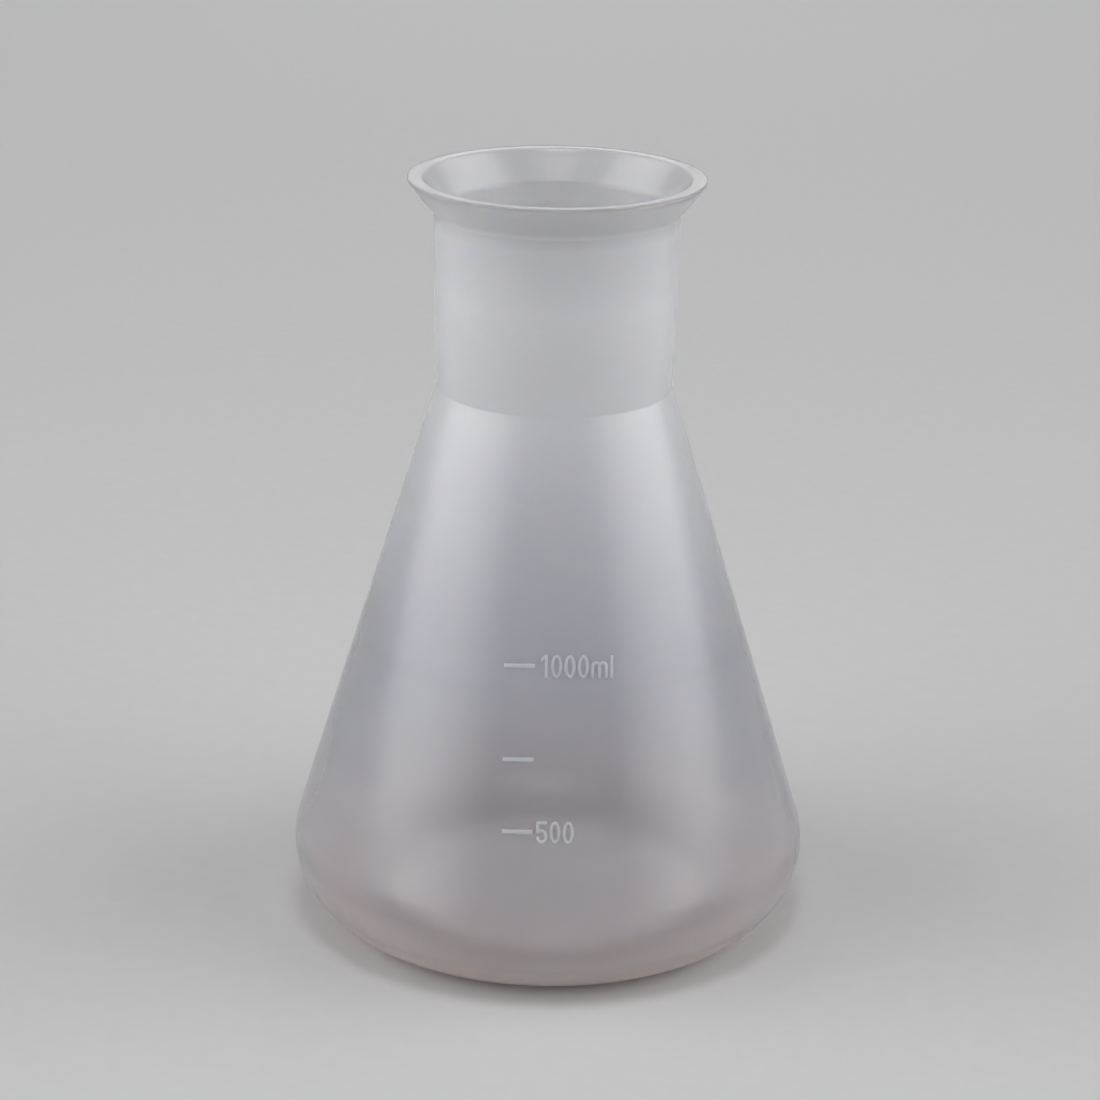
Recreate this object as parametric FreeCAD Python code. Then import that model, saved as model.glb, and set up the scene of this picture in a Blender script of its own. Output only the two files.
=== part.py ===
import FreeCAD, Part
import math
import os

# A wide-necked conical flask of translucent polypropylene, graduated to 1000 ml. It stands on z = 0 with
# its axis on Z, and its scale faces -Y. Lengths are millimetres, angles are degrees.

# Whole flask
overall_height = 205.4
body_diameter = 140.0
wall = 2.4

# Base: a dish with a rounded heel, a standing ring and a raised middle
heel_radius = 20.6
standing_ring_width = 5.0
standing_ring_round = 1.0
recess_depth = 2.0
recess_round = 1.0

# Weld between base and body: a lap with half of the wall on each side, at the widest line
lap_height = 3.0

# Neck: it widens a little upwards, by the draft that lets the core out of the mouth
neck_foot_height = 149.7
neck_foot_diameter = 62.6
neck_draft = 1.05
neck_foot_round = 2.0

# Lip: a straight flare that thickens upwards to a broad flat rim
lip_height = 9.2
rim_diameter = 79.0
rim_width = 4.5
lip_foot_round = 1.0
rim_edge_round = 0.5
mouth_edge_round = 1.0

# Scale lines: raised bars on the front of the cone, at the heights of their middles
line_1000_height = 89.0
line_750_height = 66.0
line_500_height = 48.2
line_length = 8.0
line_thickness = 1.2
line_end = -3.9
mark_relief = 0.4

# Scale numbers, level with their lines. A start, or a line's end, is how far it lies to the right of the
# front in the flat drawing that the scale was cut from.
number_1000_start = -3.2
number_500_start = -3.0
number_height = 5.95
number_500_height = 5.65
number_width = 2.8
number_pitch = 3.42
number_stroke = 0.75
one_setback = 0.25
flag_width = 1.0
flag_drop = 1.1
unit_m_width = 4.3
unit_m_height = 4.4
unit_gap = 0.6

# What follows from the sizes above
widest_radius = body_diameter / 2
neck_foot_radius = neck_foot_diameter / 2
lip_foot_height = overall_height - lip_height
neck_widening = (lip_foot_height - neck_foot_height) * math.tan(math.radians(neck_draft))
lip_foot_radius = neck_foot_radius + neck_widening
rim_radius = rim_diameter / 2
heel_centre_radius = widest_radius - heel_radius
recess_radius = heel_centre_radius - standing_ring_width
weld_height = heel_radius

# The cone is the straight line from the neck's foot that touches the round of the heel.
run_out = heel_centre_radius - neck_foot_radius
run_down = neck_foot_height - heel_radius
cone_angle = math.atan2(run_out, run_down) + math.asin(heel_radius / math.hypot(run_out, run_down))
cone_foot_radius = neck_foot_radius + neck_foot_height * math.tan(cone_angle)

# The outer profile from the middle of the underside to the rim: radius, height and rounding of each corner
outer_corners = [
    (0.0, recess_depth, 0.0),
    (recess_radius - recess_depth, recess_depth, recess_round),
    (recess_radius, 0.0, standing_ring_round),
    (cone_foot_radius, 0.0, heel_radius),
    (neck_foot_radius, neck_foot_height, neck_foot_round),
    (lip_foot_radius, lip_foot_height, lip_foot_round),
    (rim_radius, overall_height, rim_edge_round),
]

CENTRE = FreeCAD.Vector(0, 0, 0)
X_AXIS = FreeCAD.Vector(1, 0, 0)
Y_AXIS = FreeCAD.Vector(0, 1, 0)
Z_AXIS = FreeCAD.Vector(0, 0, 1)
SHORTEST_LINE = 1e-6


def point(x, z):
    """A point of a flat drawing, in the plane of X and Z."""
    return FreeCAD.Vector(x, 0, z)


def bend(line, other):
    """How far one line turns to the left into another: the cross product of the two."""
    (ax, az), (bx, bz) = line
    (cx, cz), (dx, dz) = other
    return (bx - ax) * (dz - cz) - (bz - az) * (dx - cx)


def crossing(line, other):
    """Where two lines, each a pair of points, cross."""
    (ax, az), (bx, bz) = line
    share = bend((line[0], other[0]), other) / bend(line, other)
    return ax + share * (bx - ax), az + share * (bz - az)


def inset_corners(depth):
    """The outer profile moved into the wall by depth, its rounds kept about the same centres."""
    lines = [((0.0, overall_height), (0.0, 0.0))]
    for (ax, az, _), (bx, bz, _) in zip(outer_corners, outer_corners[1:]):
        length = math.hypot(bx - ax, bz - az)
        shift_x = -depth * (bz - az) / length
        shift_z = depth * (bx - ax) / length
        lines.append(((ax + shift_x, az + shift_z), (bx + shift_x, bz + shift_z)))
    lines.append(((rim_radius, overall_height), (0.0, overall_height)))
    inset = []
    for line, following, (_, _, rounding) in zip(lines, lines[1:], outer_corners):
        outward = bend(line, following) > 0
        inner_rounding = rounding - depth if outward else rounding + depth
        x, z = crossing(line, following)
        inset.append((x, z, max(inner_rounding, 0.0) if rounding else 0.0))
    return inset


def rounded_face(corners):
    """A flat face with straight sides from corner to corner, each corner rounded as it says."""
    entries = []
    exits = []
    arcs = []
    for before, (x, z, rounding), after in zip(corners[-1:] + corners, corners, corners[1:] + corners[:1]):
        here = point(x, z)
        back = (point(before[0], before[1]) - here).normalize()
        ahead = (point(after[0], after[1]) - here).normalize()
        half = back.getAngle(ahead) / 2
        reach = rounding / math.tan(half)
        entries.append(here + back * reach)
        exits.append(here + ahead * reach)
        middle = here + (back + ahead).normalize() * (rounding / math.sin(half) - rounding)
        arcs.append([Part.Arc(entries[-1], middle, exits[-1]).toShape()] if rounding else [])
    edges = []
    for arc, start, end in zip(arcs, exits, entries[1:] + entries[:1]):
        edges += arc
        if start.distanceToPoint(end) > SHORTEST_LINE:
            edges.append(Part.makeLine(start, end))
    return Part.Face(Part.Wire(edges))


def turned(face):
    """The solid that a profile sweeps in a full turn about the flask's axis."""
    return face.revolve(CENTRE, Z_AXIS, 360)


def flask_wall():
    """The whole wall of the flask, from the underside to the flat rim."""
    inner_corners = inset_corners(wall)
    inner_corners[-1] = (rim_radius - rim_width, overall_height, mouth_edge_round)
    return turned(rounded_face(outer_corners + inner_corners[::-1]))


def base_zone():
    """Where the base is: all below the weld, and the inner half of the wall up to the top of the lap."""
    below = Part.makeCylinder(body_diameter, weld_height)
    core = turned(rounded_face(inset_corners(wall / 2) + [(0.0, overall_height, 0.0)]))
    lap = core.common(Part.makeCylinder(body_diameter, weld_height + lap_height))
    return below.fuse(lap)


def cone_radius(height):
    """The outer radius of the cone at a height."""
    return cone_foot_radius - height * math.tan(cone_angle)


def relief_skin(height, reach):
    """The skin over the cone that raised marks fill, from reach below a height to reach above it."""
    foot = point(0, height - reach)
    low = cone_radius(height - reach)
    high = cone_radius(height + reach)
    relief = mark_relief / math.cos(cone_angle)
    outside = Part.makeCone(low + relief, high + relief, 2 * reach, foot, Z_AXIS)
    return outside.cut(Part.makeCone(low, high, 2 * reach, foot, Z_AXIS))


def raised(faces, height, across):
    """A mark, drawn flat about its middle, raised on the cone at a height. The scale was cut straight into the
    front of the mould, so a mark beside the middle is moved across the drawing, not turned about the axis."""
    reach = number_height + line_length
    radius = cone_radius(height)
    pillars = [face.extrude(Y_AXIS * (2 * reach)) for face in faces]
    mark = pillars[0].multiFuse(pillars[1:]).removeSplitter() if len(pillars) > 1 else pillars[0]
    mark.translate(FreeCAD.Vector(across, -reach, 0))
    mark.rotate(CENTRE, X_AXIS, -math.degrees(cone_angle))
    mark.translate(FreeCAD.Vector(0, -radius, height))
    return mark.common(relief_skin(height, reach))


def bar(left, right, bottom, top):
    """An upright rectangle."""
    return Part.makePlane(right - left, top - bottom, point(left, bottom), -Y_AXIS, X_AXIS)


def pen_line(edges):
    """An open line of edges, drawn with the pen of the numbers."""
    return Part.Wire(edges).makeOffset2D(number_stroke / 2, fill=True)


def digit_zero(height):
    """A narrow oval nought."""
    ovals = []
    for inset in (0.0, number_stroke):
        oval = Part.Ellipse(point(0, height / 2 - inset), point(number_width / 2 - inset, 0), CENTRE)
        ovals.append(Part.Face(Part.Wire(oval.toShape())))
    return [ovals[0].cut(ovals[1]).Faces[0]]


def digit_one(height):
    """A stem with a flag to the left of its top."""
    right = number_width / 2 - one_setback
    left = right - number_stroke
    top = height / 2
    flag_left = left - flag_width
    flag_top = top - flag_drop
    corners = [(left, top), (flag_left, flag_top), (flag_left, flag_top - number_stroke), (left, flag_top)]
    flag = rounded_face([(x, z, 0.0) for x, z in corners])
    return [bar(left, right, -top, top), flag]


def digit_five(height):
    """A top bar, a short stem and an open bowl."""
    x = (number_width - number_stroke) / 2
    top = (height - number_stroke) / 2
    bowl = number_stroke / 2
    return [pen_line([
        Part.makeLine(point(x, top), point(-x, top)),
        Part.makeLine(point(-x, top), point(-x, 0)),
        Part.Arc(point(-x, 0), point(0, bowl), point(x, -x)).toShape(),
        Part.makeLine(point(x, -x), point(x, x - top)),
        Part.Arc(point(x, x - top), point(0, -top), point(-x, x - top)).toShape(),
    ])]


def unit_m():
    """Three legs under two arches."""
    pen = number_stroke / 2
    span = (unit_m_width - number_stroke) / 2
    foot = pen - number_height / 2
    top = unit_m_height - number_height / 2 - pen
    spring = top - span / 2
    arches = []
    for side in (-span, span):
        arches.append(pen_line([
            Part.makeLine(point(0, foot), point(0, spring)),
            Part.Arc(point(0, spring), point(side / 2, top), point(side, spring)).toShape(),
            Part.makeLine(point(side, spring), point(side, foot)),
        ]))
    return arches


def unit_l():
    """One tall leg."""
    return [bar(-number_stroke / 2, number_stroke / 2, -number_height / 2, number_height / 2)]


def scale_line(height):
    """A level bar, its right end at line_end."""
    face = bar(-line_length / 2, line_length / 2, -line_thickness / 2, line_thickness / 2)
    return raised([face], height, line_end - line_length / 2)


def number_1000_ml():
    """The top number of the scale, with its unit."""
    marks = []
    for place, digit in enumerate((digit_one, digit_zero, digit_zero, digit_zero)):
        start = number_1000_start + place * number_pitch
        marks.append(raised(digit(number_height), line_1000_height, start + number_width / 2))
    m_start = number_1000_start + len(marks) * number_pitch
    l_start = m_start + unit_m_width + unit_gap
    marks.append(raised(unit_m(), line_1000_height, m_start + unit_m_width / 2))
    marks.append(raised(unit_l(), line_1000_height, l_start + number_stroke / 2))
    return Part.makeCompound(marks)


def number_500():
    """The lower number of the scale, drawn a little less tall."""
    marks = []
    for place, digit in enumerate((digit_five, digit_zero, digit_zero)):
        start = number_500_start + place * number_pitch
        marks.append(raised(digit(number_500_height), line_500_height, start + number_width / 2))
    return Part.makeCompound(marks)


whole_wall = flask_wall()
below_weld = base_zone()

pieces = {
    "flask_body": whole_wall.cut(below_weld),
    "flask_base": whole_wall.common(below_weld),
    "graduation_line_1000": scale_line(line_1000_height),
    "graduation_line_750": scale_line(line_750_height),
    "graduation_line_500": scale_line(line_500_height),
    "numerals_1000_ml": number_1000_ml(),
    "numerals_500": number_500(),
}

os.makedirs("parts", exist_ok=True)
for name, shape in pieces.items():
    shape.exportStep(f"parts/{name}.step")
    print(name, len(shape.Solids), "solids", round(shape.Volume, 2), "mm3, valid", shape.isValid())
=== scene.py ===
import math

import bmesh
import bpy
from mathutils import Matrix, Vector


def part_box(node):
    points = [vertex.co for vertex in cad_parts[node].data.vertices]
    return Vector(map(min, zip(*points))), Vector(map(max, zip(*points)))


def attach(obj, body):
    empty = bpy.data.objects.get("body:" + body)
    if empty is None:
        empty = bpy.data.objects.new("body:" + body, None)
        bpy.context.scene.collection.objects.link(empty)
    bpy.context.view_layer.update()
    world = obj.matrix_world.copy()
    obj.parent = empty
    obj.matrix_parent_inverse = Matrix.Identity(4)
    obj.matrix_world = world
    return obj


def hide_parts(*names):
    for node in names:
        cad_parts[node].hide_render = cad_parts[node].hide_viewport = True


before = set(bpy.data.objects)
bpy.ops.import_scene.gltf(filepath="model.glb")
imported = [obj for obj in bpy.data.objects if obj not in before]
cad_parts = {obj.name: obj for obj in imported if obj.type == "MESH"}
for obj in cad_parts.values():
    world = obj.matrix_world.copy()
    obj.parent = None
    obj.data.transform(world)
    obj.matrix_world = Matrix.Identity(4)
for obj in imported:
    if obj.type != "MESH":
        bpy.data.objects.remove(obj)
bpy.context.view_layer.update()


# Base: a shallow dish of natural polypropylene with a rounded heel. It stands on a narrow ring round a raised
# middle. It is moulded by itself, and its upper edge is welded inside the body at the flask's widest line.
widest_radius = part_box("flask_base")[1].x
wall = 0.0024
heel_radius = 0.0206
standing_ring_width = 0.005
standing_ring_round = 0.001
recess_depth = 0.002
recess_round = 0.001
recess_slope = math.radians(45)
lap_height = 0.003
turn_steps = 180
crisp_corner = math.radians(35)
quarter_turn = math.radians(90)
merge_distance = 1e-6
sliver_length = 1e-7
weld_margin = wall * 0.02
shade_top = 0.205

heel_centre = widest_radius - heel_radius
recess_radius = heel_centre - standing_ring_width
weld_height = heel_radius
heel_inside = heel_radius - wall
heel_middle = heel_radius - wall / 2
lap_turn = math.asin(lap_height / heel_middle)
inner_lap_turn = math.asin(lap_height / heel_inside)


def line_to(profile, tip, radius, height, parts=1):
    """Draws a profile on from its tip, straight to a radius and a height."""
    start = tip.co.copy()
    end = Vector((radius, 0, height))
    for part in range(1, parts + 1):
        tip = bmesh.ops.extrude_vert_indiv(profile, verts=[tip])["verts"][0]
        tip.co = start.lerp(end, part / parts)
    return tip


def arc_about(profile, tip, radius, height, turn, steps):
    """Draws a profile on from its tip in an arc about a point, anticlockwise if the turn is positive."""
    arc = bmesh.ops.spin(
        profile,
        geom=[tip],
        cent=(radius, 0, height),
        axis=(0, -1, 0),
        angle=turn,
        steps=steps,
        use_merge=False,
    )
    return [end for end in arc["geom_last"] if isinstance(end, bmesh.types.BMVert)][0]


def rounded_corner(profile, tip, corner, after, rounding, parts=1, steps=4):
    """Draws a profile on from its tip to a corner, and round it until it points to the next corner."""
    here = Vector(corner)
    along = (here - Vector((tip.co.x, tip.co.z))).normalized()
    onwards = (Vector(after) - here).normalized()
    turn = math.atan2(along.x * onwards.y - along.y * onwards.x, along.dot(onwards))
    start = here - along * rounding * math.tan(abs(turn) / 2)
    side = math.copysign(rounding, turn)
    tip = line_to(profile, tip, start.x, start.y, parts)
    return arc_about(profile, tip, start.x - along.y * side, start.y + along.x * side, turn, steps)


def turned_piece(profile, last, first, name, materials):
    """Closes a profile, spins it once about the flask's axis and makes a piece of it."""
    profile.edges.new((last, first))
    bmesh.ops.spin(
        profile,
        geom=profile.verts[:] + profile.edges[:],
        cent=(0, 0, 0),
        axis=(0, 0, 1),
        angle=math.tau,
        steps=turn_steps,
        use_merge=True,
    )
    bmesh.ops.remove_doubles(profile, verts=profile.verts, dist=merge_distance)
    bmesh.ops.dissolve_degenerate(profile, edges=profile.edges, dist=sliver_length)
    bmesh.ops.recalc_face_normals(profile, faces=profile.faces)
    return finished_piece(profile, name, materials)


def finished_piece(form, name, materials):
    """Makes a piece of a mesh, smooth but for its crisp corners."""
    for face in form.faces:
        face.smooth = True
    for edge in form.edges:
        edge.smooth = edge.calc_face_angle(0) < crisp_corner
    mesh = bpy.data.meshes.new(name)
    form.to_mesh(mesh)
    form.free()
    for material in materials:
        mesh.materials.append(material)
    piece = bpy.data.objects.new(name, mesh)
    bpy.context.scene.collection.objects.link(piece)
    return piece


def natural_plastic(name, shades, roughness):
    """Milky polypropylene: part of the light passes, blurred, and the rest scatters within the wall.

    A shade is a height, as a share of shade_top, with a colour and the share of light that passes there.
    Roughness is a pair: that of the smoothest places and that of the roughest.
    """
    material = bpy.data.materials.new(name)
    material.use_nodes = True
    nodes = material.node_tree.nodes
    links = material.node_tree.links
    shader = nodes["Principled BSDF"]
    shader.inputs["IOR"].default_value = 1.49
    shader.inputs["Subsurface Weight"].default_value = 1
    shader.inputs["Subsurface Scale"].default_value = 0.003
    shader.inputs["Subsurface Radius"].default_value = (1, 0.85, 0.7)
    place = nodes.new("ShaderNodeTexCoord")

    # The colour and the share of light that passes follow the height. The colours are partly the plastic's
    # own milkiness and partly painted light and shade.
    split = nodes.new("ShaderNodeSeparateXYZ")
    links.new(place.outputs["Object"], split.inputs["Vector"])
    height = nodes.new("ShaderNodeMapRange")
    height.inputs["From Max"].default_value = shade_top
    links.new(split.outputs["Z"], height.inputs["Value"])
    milk_and_painted_light = nodes.new("ShaderNodeValToRGB")
    links.new(height.outputs["Result"], milk_and_painted_light.inputs["Fac"])
    milk_and_painted_light.color_ramp.elements.remove(milk_and_painted_light.color_ramp.elements[1])
    milk_and_painted_light.color_ramp.elements[0].position = shades[0][0]
    milk_and_painted_light.color_ramp.elements[0].color = shades[0][1]
    for stop, colour in shades[1:]:
        milk_and_painted_light.color_ramp.elements.new(stop).color = colour
    clear_shares = {colour[3] for stop, colour in shades}
    if len(clear_shares) > 1:
        links.new(milk_and_painted_light.outputs["Alpha"], shader.inputs["Transmission Weight"])
    else:
        shader.inputs["Transmission Weight"].default_value = clear_shares.pop()

    # Faint clouds, where the melt met itself as the mould filled
    clouds = nodes.new("ShaderNodeTexNoise")
    clouds.inputs["Scale"].default_value = 22
    clouds.inputs["Detail"].default_value = 4
    clouds.inputs["Distortion"].default_value = 0.6
    links.new(place.outputs["Object"], clouds.inputs["Vector"])
    haze = nodes.new("ShaderNodeMapRange")
    haze.inputs["From Min"].default_value = 0.3
    haze.inputs["From Max"].default_value = 0.7
    haze.inputs["To Min"].default_value = 0.95
    haze.inputs["To Max"].default_value = 1.0
    links.new(clouds.outputs["Fac"], haze.inputs["Value"])
    tint = nodes.new("ShaderNodeMix")
    tint.data_type = "RGBA"
    tint.blend_type = "MULTIPLY"
    tint.inputs["Factor"].default_value = 1
    links.new(milk_and_painted_light.outputs["Color"], tint.inputs["A"])
    links.new(haze.outputs["Result"], tint.inputs["B"])
    links.new(tint.outputs["Result"], shader.inputs["Base Color"])

    # A satin skin, a little uneven, with the fine grain of the mould
    satin = nodes.new("ShaderNodeMapRange")
    satin.inputs["From Min"].default_value = 0.3
    satin.inputs["From Max"].default_value = 0.7
    satin.inputs["To Min"].default_value = roughness[0]
    satin.inputs["To Max"].default_value = roughness[1]
    links.new(clouds.outputs["Fac"], satin.inputs["Value"])
    links.new(satin.outputs["Result"], shader.inputs["Roughness"])
    grain = nodes.new("ShaderNodeTexNoise")
    grain.inputs["Scale"].default_value = 700
    grain.inputs["Detail"].default_value = 2
    links.new(place.outputs["Object"], grain.inputs["Vector"])
    bump = nodes.new("ShaderNodeBump")
    bump.inputs["Strength"].default_value = 0.06
    bump.inputs["Distance"].default_value = 0.0002
    links.new(grain.outputs["Fac"], bump.inputs["Height"])
    links.new(bump.outputs["Normal"], shader.inputs["Normal"])
    return material


# From the foot up, partly the plastic's own milkiness and partly painted light and shade: a painted warm glow
# on the heel and the foot of the cone, a painted lighter band low on the cone where the lit floor of the base
# shows through, a painted darker middle of the cone, a milkier neck painted whiter, a clearer lip, and a
# painted darker top of the neck, lip and rim, which also darkens the mouth's inside
wall_milk_and_painted_light = [
    (0.02, (1.00, 0.86, 0.83, 0.50)),
    (0.05, (0.87, 0.81, 0.805, 0.76)),
    (0.115, (0.83, 0.797, 0.815, 0.825)),
    (0.19, (0.815, 0.815, 0.853, 0.86)),
    (0.26, (0.735, 0.745, 0.795, 0.85)),
    (0.40, (0.74, 0.75, 0.795, 0.83)),
    (0.72, (0.905, 0.912, 0.945, 0.56)),
    (0.74, (0.91, 0.92, 0.96, 0.55)),
    (0.86, (0.92, 0.93, 0.965, 0.51)),
    (0.94, (0.85, 0.86, 0.885, 0.55)),
    (0.965, (0.82, 0.825, 0.845, 0.72)),
    (0.99, (0.82, 0.825, 0.845, 0.72)),
    (1.00, (0.80, 0.80, 0.82, 0.72)),
]
# The base's floor is nearly opaque, as the thicker plastic is milkier, and tinted warm pink, which is a
# painted warm glow.
floor_milk_and_painted_warm_light = [(0.0, (1.0, 0.83, 0.78, 0.05)), (0.05, (1.0, 0.83, 0.78, 0.05))]
satin_skin = (0.145, 0.185)
wall_plastic = natural_plastic("natural_polypropylene_wall", wall_milk_and_painted_light, satin_skin)
floor_plastic = natural_plastic("natural_polypropylene_floor", floor_milk_and_painted_warm_light, satin_skin)

# Welded faces have melted into one, so nothing of them shows.
melted = bpy.data.materials.new("melted_together")
melted.use_nodes = True
melted_nodes = melted.node_tree.nodes
melted_nodes.remove(melted_nodes["Principled BSDF"])
through = melted_nodes.new("ShaderNodeBsdfTransparent")
melted.node_tree.links.new(through.outputs["BSDF"], melted_nodes["Material Output"].inputs["Surface"])

slope_gap = wall * math.tan(recess_slope / 2)
recess_edge = (recess_radius - recess_depth, recess_depth)
ring_edge = (recess_radius, 0)
inner_ring_edge = (recess_radius + slope_gap, wall)
inner_recess_edge = (recess_radius - recess_depth + slope_gap, recess_depth + wall)

profile = bmesh.new()
first = profile.verts.new((0, 0, recess_depth))
tip = rounded_corner(profile, first, recess_edge, ring_edge, recess_round, parts=10)
tip = rounded_corner(profile, tip, ring_edge, (heel_centre, 0), standing_ring_round)
tip = line_to(profile, tip, heel_centre, 0, parts=2)
tip = arc_about(profile, tip, heel_centre, heel_radius, quarter_turn, steps=40)
tip = line_to(profile, tip, widest_radius - wall / 2, weld_height)
tip = arc_about(profile, tip, heel_centre, heel_radius, lap_turn, steps=4)
tip = line_to(profile, tip, heel_centre + heel_inside * math.cos(inner_lap_turn), weld_height + lap_height)
tip = arc_about(profile, tip, heel_centre, heel_radius, -quarter_turn - inner_lap_turn, steps=44)
tip = line_to(profile, tip, *inner_ring_edge, parts=2)
tip = rounded_corner(profile, tip, inner_recess_edge, (0, recess_depth + wall), recess_round + wall)
tip = line_to(profile, tip, 0, recess_depth + wall, parts=10)
base_materials = [wall_plastic, floor_plastic, melted]
base = turned_piece(profile, tip, first, "base_dish", base_materials)
for face in base.data.polygons:
    radius = math.hypot(face.center.x, face.center.y)
    reach = math.hypot(radius - heel_centre, face.center.z - heel_radius)
    if radius < recess_radius - recess_depth / 2:
        face.material_index = base_materials.index(floor_plastic)
    elif face.center.z > weld_height - merge_distance and reach > heel_inside + weld_margin:
        face.material_index = base_materials.index(melted)
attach(base, "root")
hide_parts("flask_base")


# Body: the cone, the neck and the flared lip, one moulding of natural polypropylene. The neck widens a little
# upwards, so that its core came out of the mouth, and the lip thickens to a broad flat rim. The body's lower
# edge laps over the base, where the two are welded.
rim_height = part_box("flask_body")[1].z
neck_foot_height = 0.1497
neck_foot_radius = 0.0313
neck_draft = math.radians(1.05)
neck_foot_round = 0.002
lip_height = 0.0092
lip_foot_round = 0.001
rim_radius = 0.0395
rim_width = 0.0045
rim_edge_round = 0.0005
mouth_edge_round = 0.001

lip_foot_height = rim_height - lip_height
lip_foot_radius = neck_foot_radius + (lip_foot_height - neck_foot_height) * math.tan(neck_draft)
run_out = heel_centre - neck_foot_radius
run_down = neck_foot_height - heel_radius
cone_angle = math.atan2(run_out, run_down) + math.asin(heel_radius / math.hypot(run_out, run_down))
lip_angle = math.atan2(rim_radius - lip_foot_radius, lip_height)


def inner_corner(radius, height, lean_below, lean_above):
    """The wall's inner corner beside an outer one, from how far the wall leans out below and above it."""
    lean = (lean_below + lean_above) / 2
    depth = wall / math.cos((lean_above - lean_below) / 2)
    return radius - depth * math.cos(lean), height + depth * math.sin(lean)


neck_foot = (neck_foot_radius, neck_foot_height)
lip_foot = (lip_foot_radius, lip_foot_height)
rim_edge = (rim_radius, rim_height)
mouth_edge = (rim_radius - rim_width, rim_height)
inner_lip_foot = inner_corner(*lip_foot, neck_draft, lip_angle)
inner_neck_foot = inner_corner(*neck_foot, -cone_angle, neck_draft)
inner_cone_foot = (
    heel_centre + heel_inside * math.cos(cone_angle),
    heel_radius + heel_inside * math.sin(cone_angle),
)

profile = bmesh.new()
first = profile.verts.new((widest_radius, 0, weld_height))
tip = arc_about(profile, first, heel_centre, heel_radius, cone_angle, steps=8)
tip = rounded_corner(profile, tip, neck_foot, lip_foot, neck_foot_round, parts=20)
tip = rounded_corner(profile, tip, lip_foot, rim_edge, lip_foot_round, parts=8)
tip = rounded_corner(profile, tip, rim_edge, mouth_edge, rim_edge_round, parts=3)
tip = rounded_corner(profile, tip, mouth_edge, inner_lip_foot, mouth_edge_round, parts=2)
tip = rounded_corner(profile, tip, inner_lip_foot, inner_neck_foot, lip_foot_round + wall, parts=3)
tip = rounded_corner(profile, tip, inner_neck_foot, inner_cone_foot, neck_foot_round + wall, parts=8)
tip = line_to(profile, tip, *inner_cone_foot, parts=20)
tip = arc_about(profile, tip, heel_centre, heel_radius, inner_lap_turn - cone_angle, steps=5)
tip = line_to(profile, tip, heel_centre + heel_middle * math.cos(lap_turn), weld_height + lap_height)
tip = arc_about(profile, tip, heel_centre, heel_radius, -lap_turn, steps=4)
body_materials = [wall_plastic, melted]
body = turned_piece(profile, tip, first, "body_cone_neck_and_lip", body_materials)
for face in body.data.polygons:
    radius = math.hypot(face.center.x, face.center.y)
    reach = math.hypot(radius - heel_centre, face.center.z - heel_radius)
    in_weld = face.center.z < weld_height + lap_height + merge_distance
    if in_weld and heel_inside + weld_margin < reach < heel_radius - weld_margin:
        face.material_index = body_materials.index(melted)
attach(body, "root")
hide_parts("flask_body")


# Scale: three raised lines and the numbers of two of them, moulded on the front of the cone in one with it.
# Their edges are rounded, as the mould's cutter left them, and their skin is more polished than the wall's.
mark_edge_round = 0.00028
flat_enough = math.radians(4)
least_on_top = 0.8
most_on_side = 0.6
most_on_cone = -0.8
# The marks are whiter and far less clear than the wall round them, though they are the same plastic: a
# painted highlight standing in for the light their edges catch.
mark_painted_highlight = [(0.0, (0.98, 0.98, 0.985, 0.38)), (1.0, (0.98, 0.98, 0.985, 0.38))]
polished_skin = (0.06, 0.09)
mark_plastic = natural_plastic("natural_polypropylene_marks", mark_painted_highlight, polished_skin)
mark_materials = [mark_plastic, melted]
cone_slope = Vector((math.cos(cone_angle), math.sin(cone_angle)))


def outwardness(face):
    """How squarely a face looks out of the cone: 1 for the top of a mark, -1 for its underside."""
    middle = face.calc_center_median()
    out = Vector((middle.x, middle.y)).normalized() * cone_slope.x
    return face.normal.dot(Vector((out.x, out.y, cone_slope.y)))


for node_name in (
    "graduation_line_1000",
    "graduation_line_750",
    "graduation_line_500",
    "numerals_1000_ml",
    "numerals_500",
):
    mark = bmesh.new()
    mark.from_mesh(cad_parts[node_name].data)
    bmesh.ops.remove_doubles(mark, verts=mark.verts, dist=merge_distance)
    bmesh.ops.dissolve_limit(mark, angle_limit=flat_enough, verts=mark.verts, edges=mark.edges)
    top_edges = []
    for edge in mark.edges:
        sides = sorted(outwardness(face) for face in edge.link_faces)
        if sides[1] > least_on_top and sides[0] < most_on_side:
            top_edges.append(edge)
    bmesh.ops.bevel(
        mark,
        geom=top_edges,
        offset=mark_edge_round,
        offset_type="OFFSET",
        affect="EDGES",
        segments=3,
        profile=0.5,
        material=-1,
        clamp_overlap=True,
    )
    for face in mark.faces:
        skin = melted if outwardness(face) < most_on_cone else mark_plastic
        face.material_index = mark_materials.index(skin)
    piece = finished_piece(mark, "raised_" + node_name, mark_materials)
    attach(piece, "root")
    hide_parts(node_name)


# Studio: a wide pale floor of matt board, two large softboxes beside the flask, a small one above its front
# and one behind it.
floor_paint = bpy.data.materials.new("pale_matt_board")
floor_paint.use_nodes = True
paint_nodes = floor_paint.node_tree.nodes
paint_links = floor_paint.node_tree.links
floor_shader = paint_nodes["Principled BSDF"]
floor_shader.inputs["Roughness"].default_value = 0.8
floor_place = paint_nodes.new("ShaderNodeTexCoord")
fibres = paint_nodes.new("ShaderNodeTexNoise")
fibres.inputs["Scale"].default_value = 180
fibres.inputs["Detail"].default_value = 5
paint_links.new(floor_place.outputs["Object"], fibres.inputs["Vector"])
pale_grey = paint_nodes.new("ShaderNodeMix")
pale_grey.data_type = "RGBA"
pale_grey.inputs["A"].default_value = (0.59, 0.59, 0.595, 1)
pale_grey.inputs["B"].default_value = (0.63, 0.63, 0.635, 1)
paint_links.new(fibres.outputs["Fac"], pale_grey.inputs["Factor"])
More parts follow.
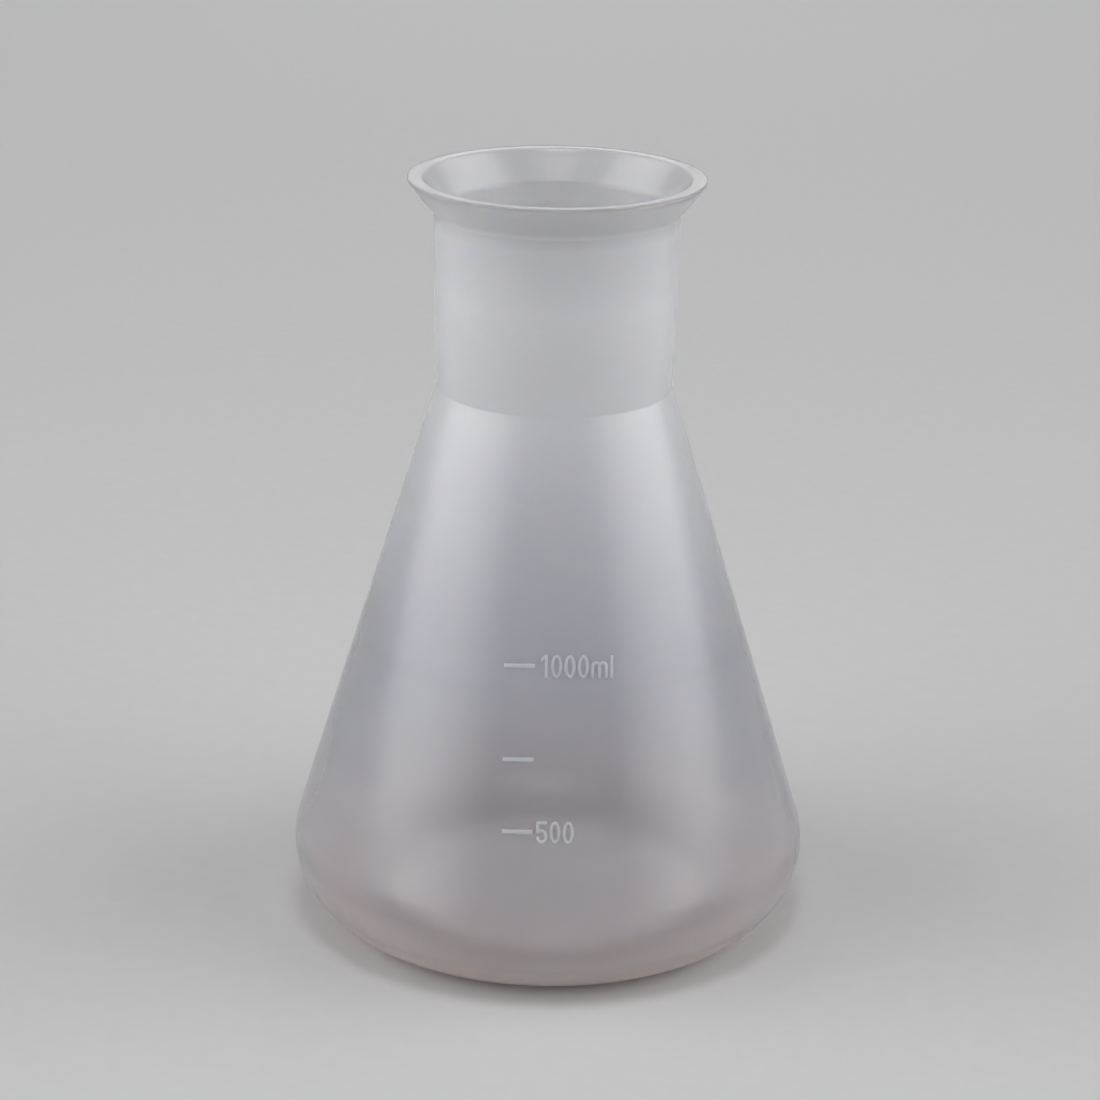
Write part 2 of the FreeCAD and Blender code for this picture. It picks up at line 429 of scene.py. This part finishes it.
paint_links.new(pale_grey.outputs["Result"], floor_shader.inputs["Base Color"])
board = bmesh.new()
bmesh.ops.create_circle(board, cap_ends=True, segments=96, radius=6)
mesh = bpy.data.meshes.new("floor")
board.to_mesh(mesh)
board.free()
mesh.materials.append(floor_paint)
floor = bpy.data.objects.new("floor", mesh)
bpy.context.scene.collection.objects.link(floor)

world = bpy.data.worlds.new("studio")
bpy.context.scene.world = world
world.use_nodes = True
world.node_tree.nodes["Background"].inputs["Color"].default_value = (0.62, 0.62, 0.63, 1)
world.node_tree.nodes["Background"].inputs["Strength"].default_value = 0.22


def softbox(name, place, target, size, power):
    """A rectangular lamp that faces a point, brightest down its middle and fading to its two sides.

    Across the lamp, a place runs from 0 to 1, so its sides lie half of that from the middle.
    """
    half_width = 0.5
    bright_half_width = 0.1
    lamp = bpy.data.lights.new(name, "AREA")
    lamp.shape = "RECTANGLE"
    lamp.size = size[0]
    lamp.size_y = size[1]
    lamp.energy = power
    lamp.use_nodes = True
    nodes = lamp.node_tree.nodes
    links = lamp.node_tree.links
    surface = nodes.new("ShaderNodeNewGeometry")
    across = nodes.new("ShaderNodeSeparateXYZ")
    links.new(surface.outputs["Parametric"], across.inputs["Vector"])
    from_middle = nodes.new("ShaderNodeMath")
    from_middle.operation = "SUBTRACT"
    from_middle.inputs[1].default_value = half_width
    links.new(across.outputs["X"], from_middle.inputs[0])
    either_side = nodes.new("ShaderNodeMath")
    either_side.operation = "ABSOLUTE"
    links.new(from_middle.outputs["Value"], either_side.inputs[0])
    fade = nodes.new("ShaderNodeMapRange")
    fade.inputs["From Min"].default_value = half_width
    fade.inputs["From Max"].default_value = bright_half_width
    links.new(either_side.outputs["Value"], fade.inputs["Value"])
    links.new(fade.outputs["Result"], nodes["Emission"].inputs["Strength"])
    holder = bpy.data.objects.new(name, lamp)
    holder.location = place
    holder.rotation_euler = (Vector(target) - Vector(place)).to_track_quat("-Z", "Y").to_euler()
    holder.visible_camera = False
    bpy.context.scene.collection.objects.link(holder)


softbox("softbox_left", place=(-4.52, -0.80, 2.10), target=(0, 0, 0.30), size=(11.2, 4.4), power=412)
softbox("softbox_right", place=(4.58, -0.40, 2.10), target=(0, 0, 0.30), size=(11.2, 4.4), power=412)
softbox("softbox_top", place=(0, -0.35, 1.25), target=(0, 0, 0.1), size=(0.6, 0.4), power=6)
softbox("softbox_back", place=(0, 1.9, 0.75), target=(0, 0, 0.15), size=(2.2, 0.7), power=5)

# Camera: a long lens a little above the flask, looking down at its middle, with a slight lean.
camera_distance = 0.7842
camera_height = 0.3796
camera_tilt = math.radians(19.432)
camera_turn = math.radians(0.039)
camera_lean = math.radians(0.827)
lens = bpy.data.cameras.new("camera")
lens.lens = 100.95
lens.sensor_width = 36
lens.clip_start = 0.01
camera = bpy.data.objects.new("camera", lens)
aim = Matrix.Rotation(camera_turn, 4, "Z") @ Matrix.Rotation(quarter_turn - camera_tilt, 4, "X")
stand = Matrix.Translation((0, -camera_distance, camera_height))
camera.matrix_world = stand @ aim @ Matrix.Rotation(camera_lean, 4, "Z")
bpy.context.scene.collection.objects.link(camera)
bpy.context.scene.camera = camera

bpy.context.scene.view_settings.view_transform = "Standard"
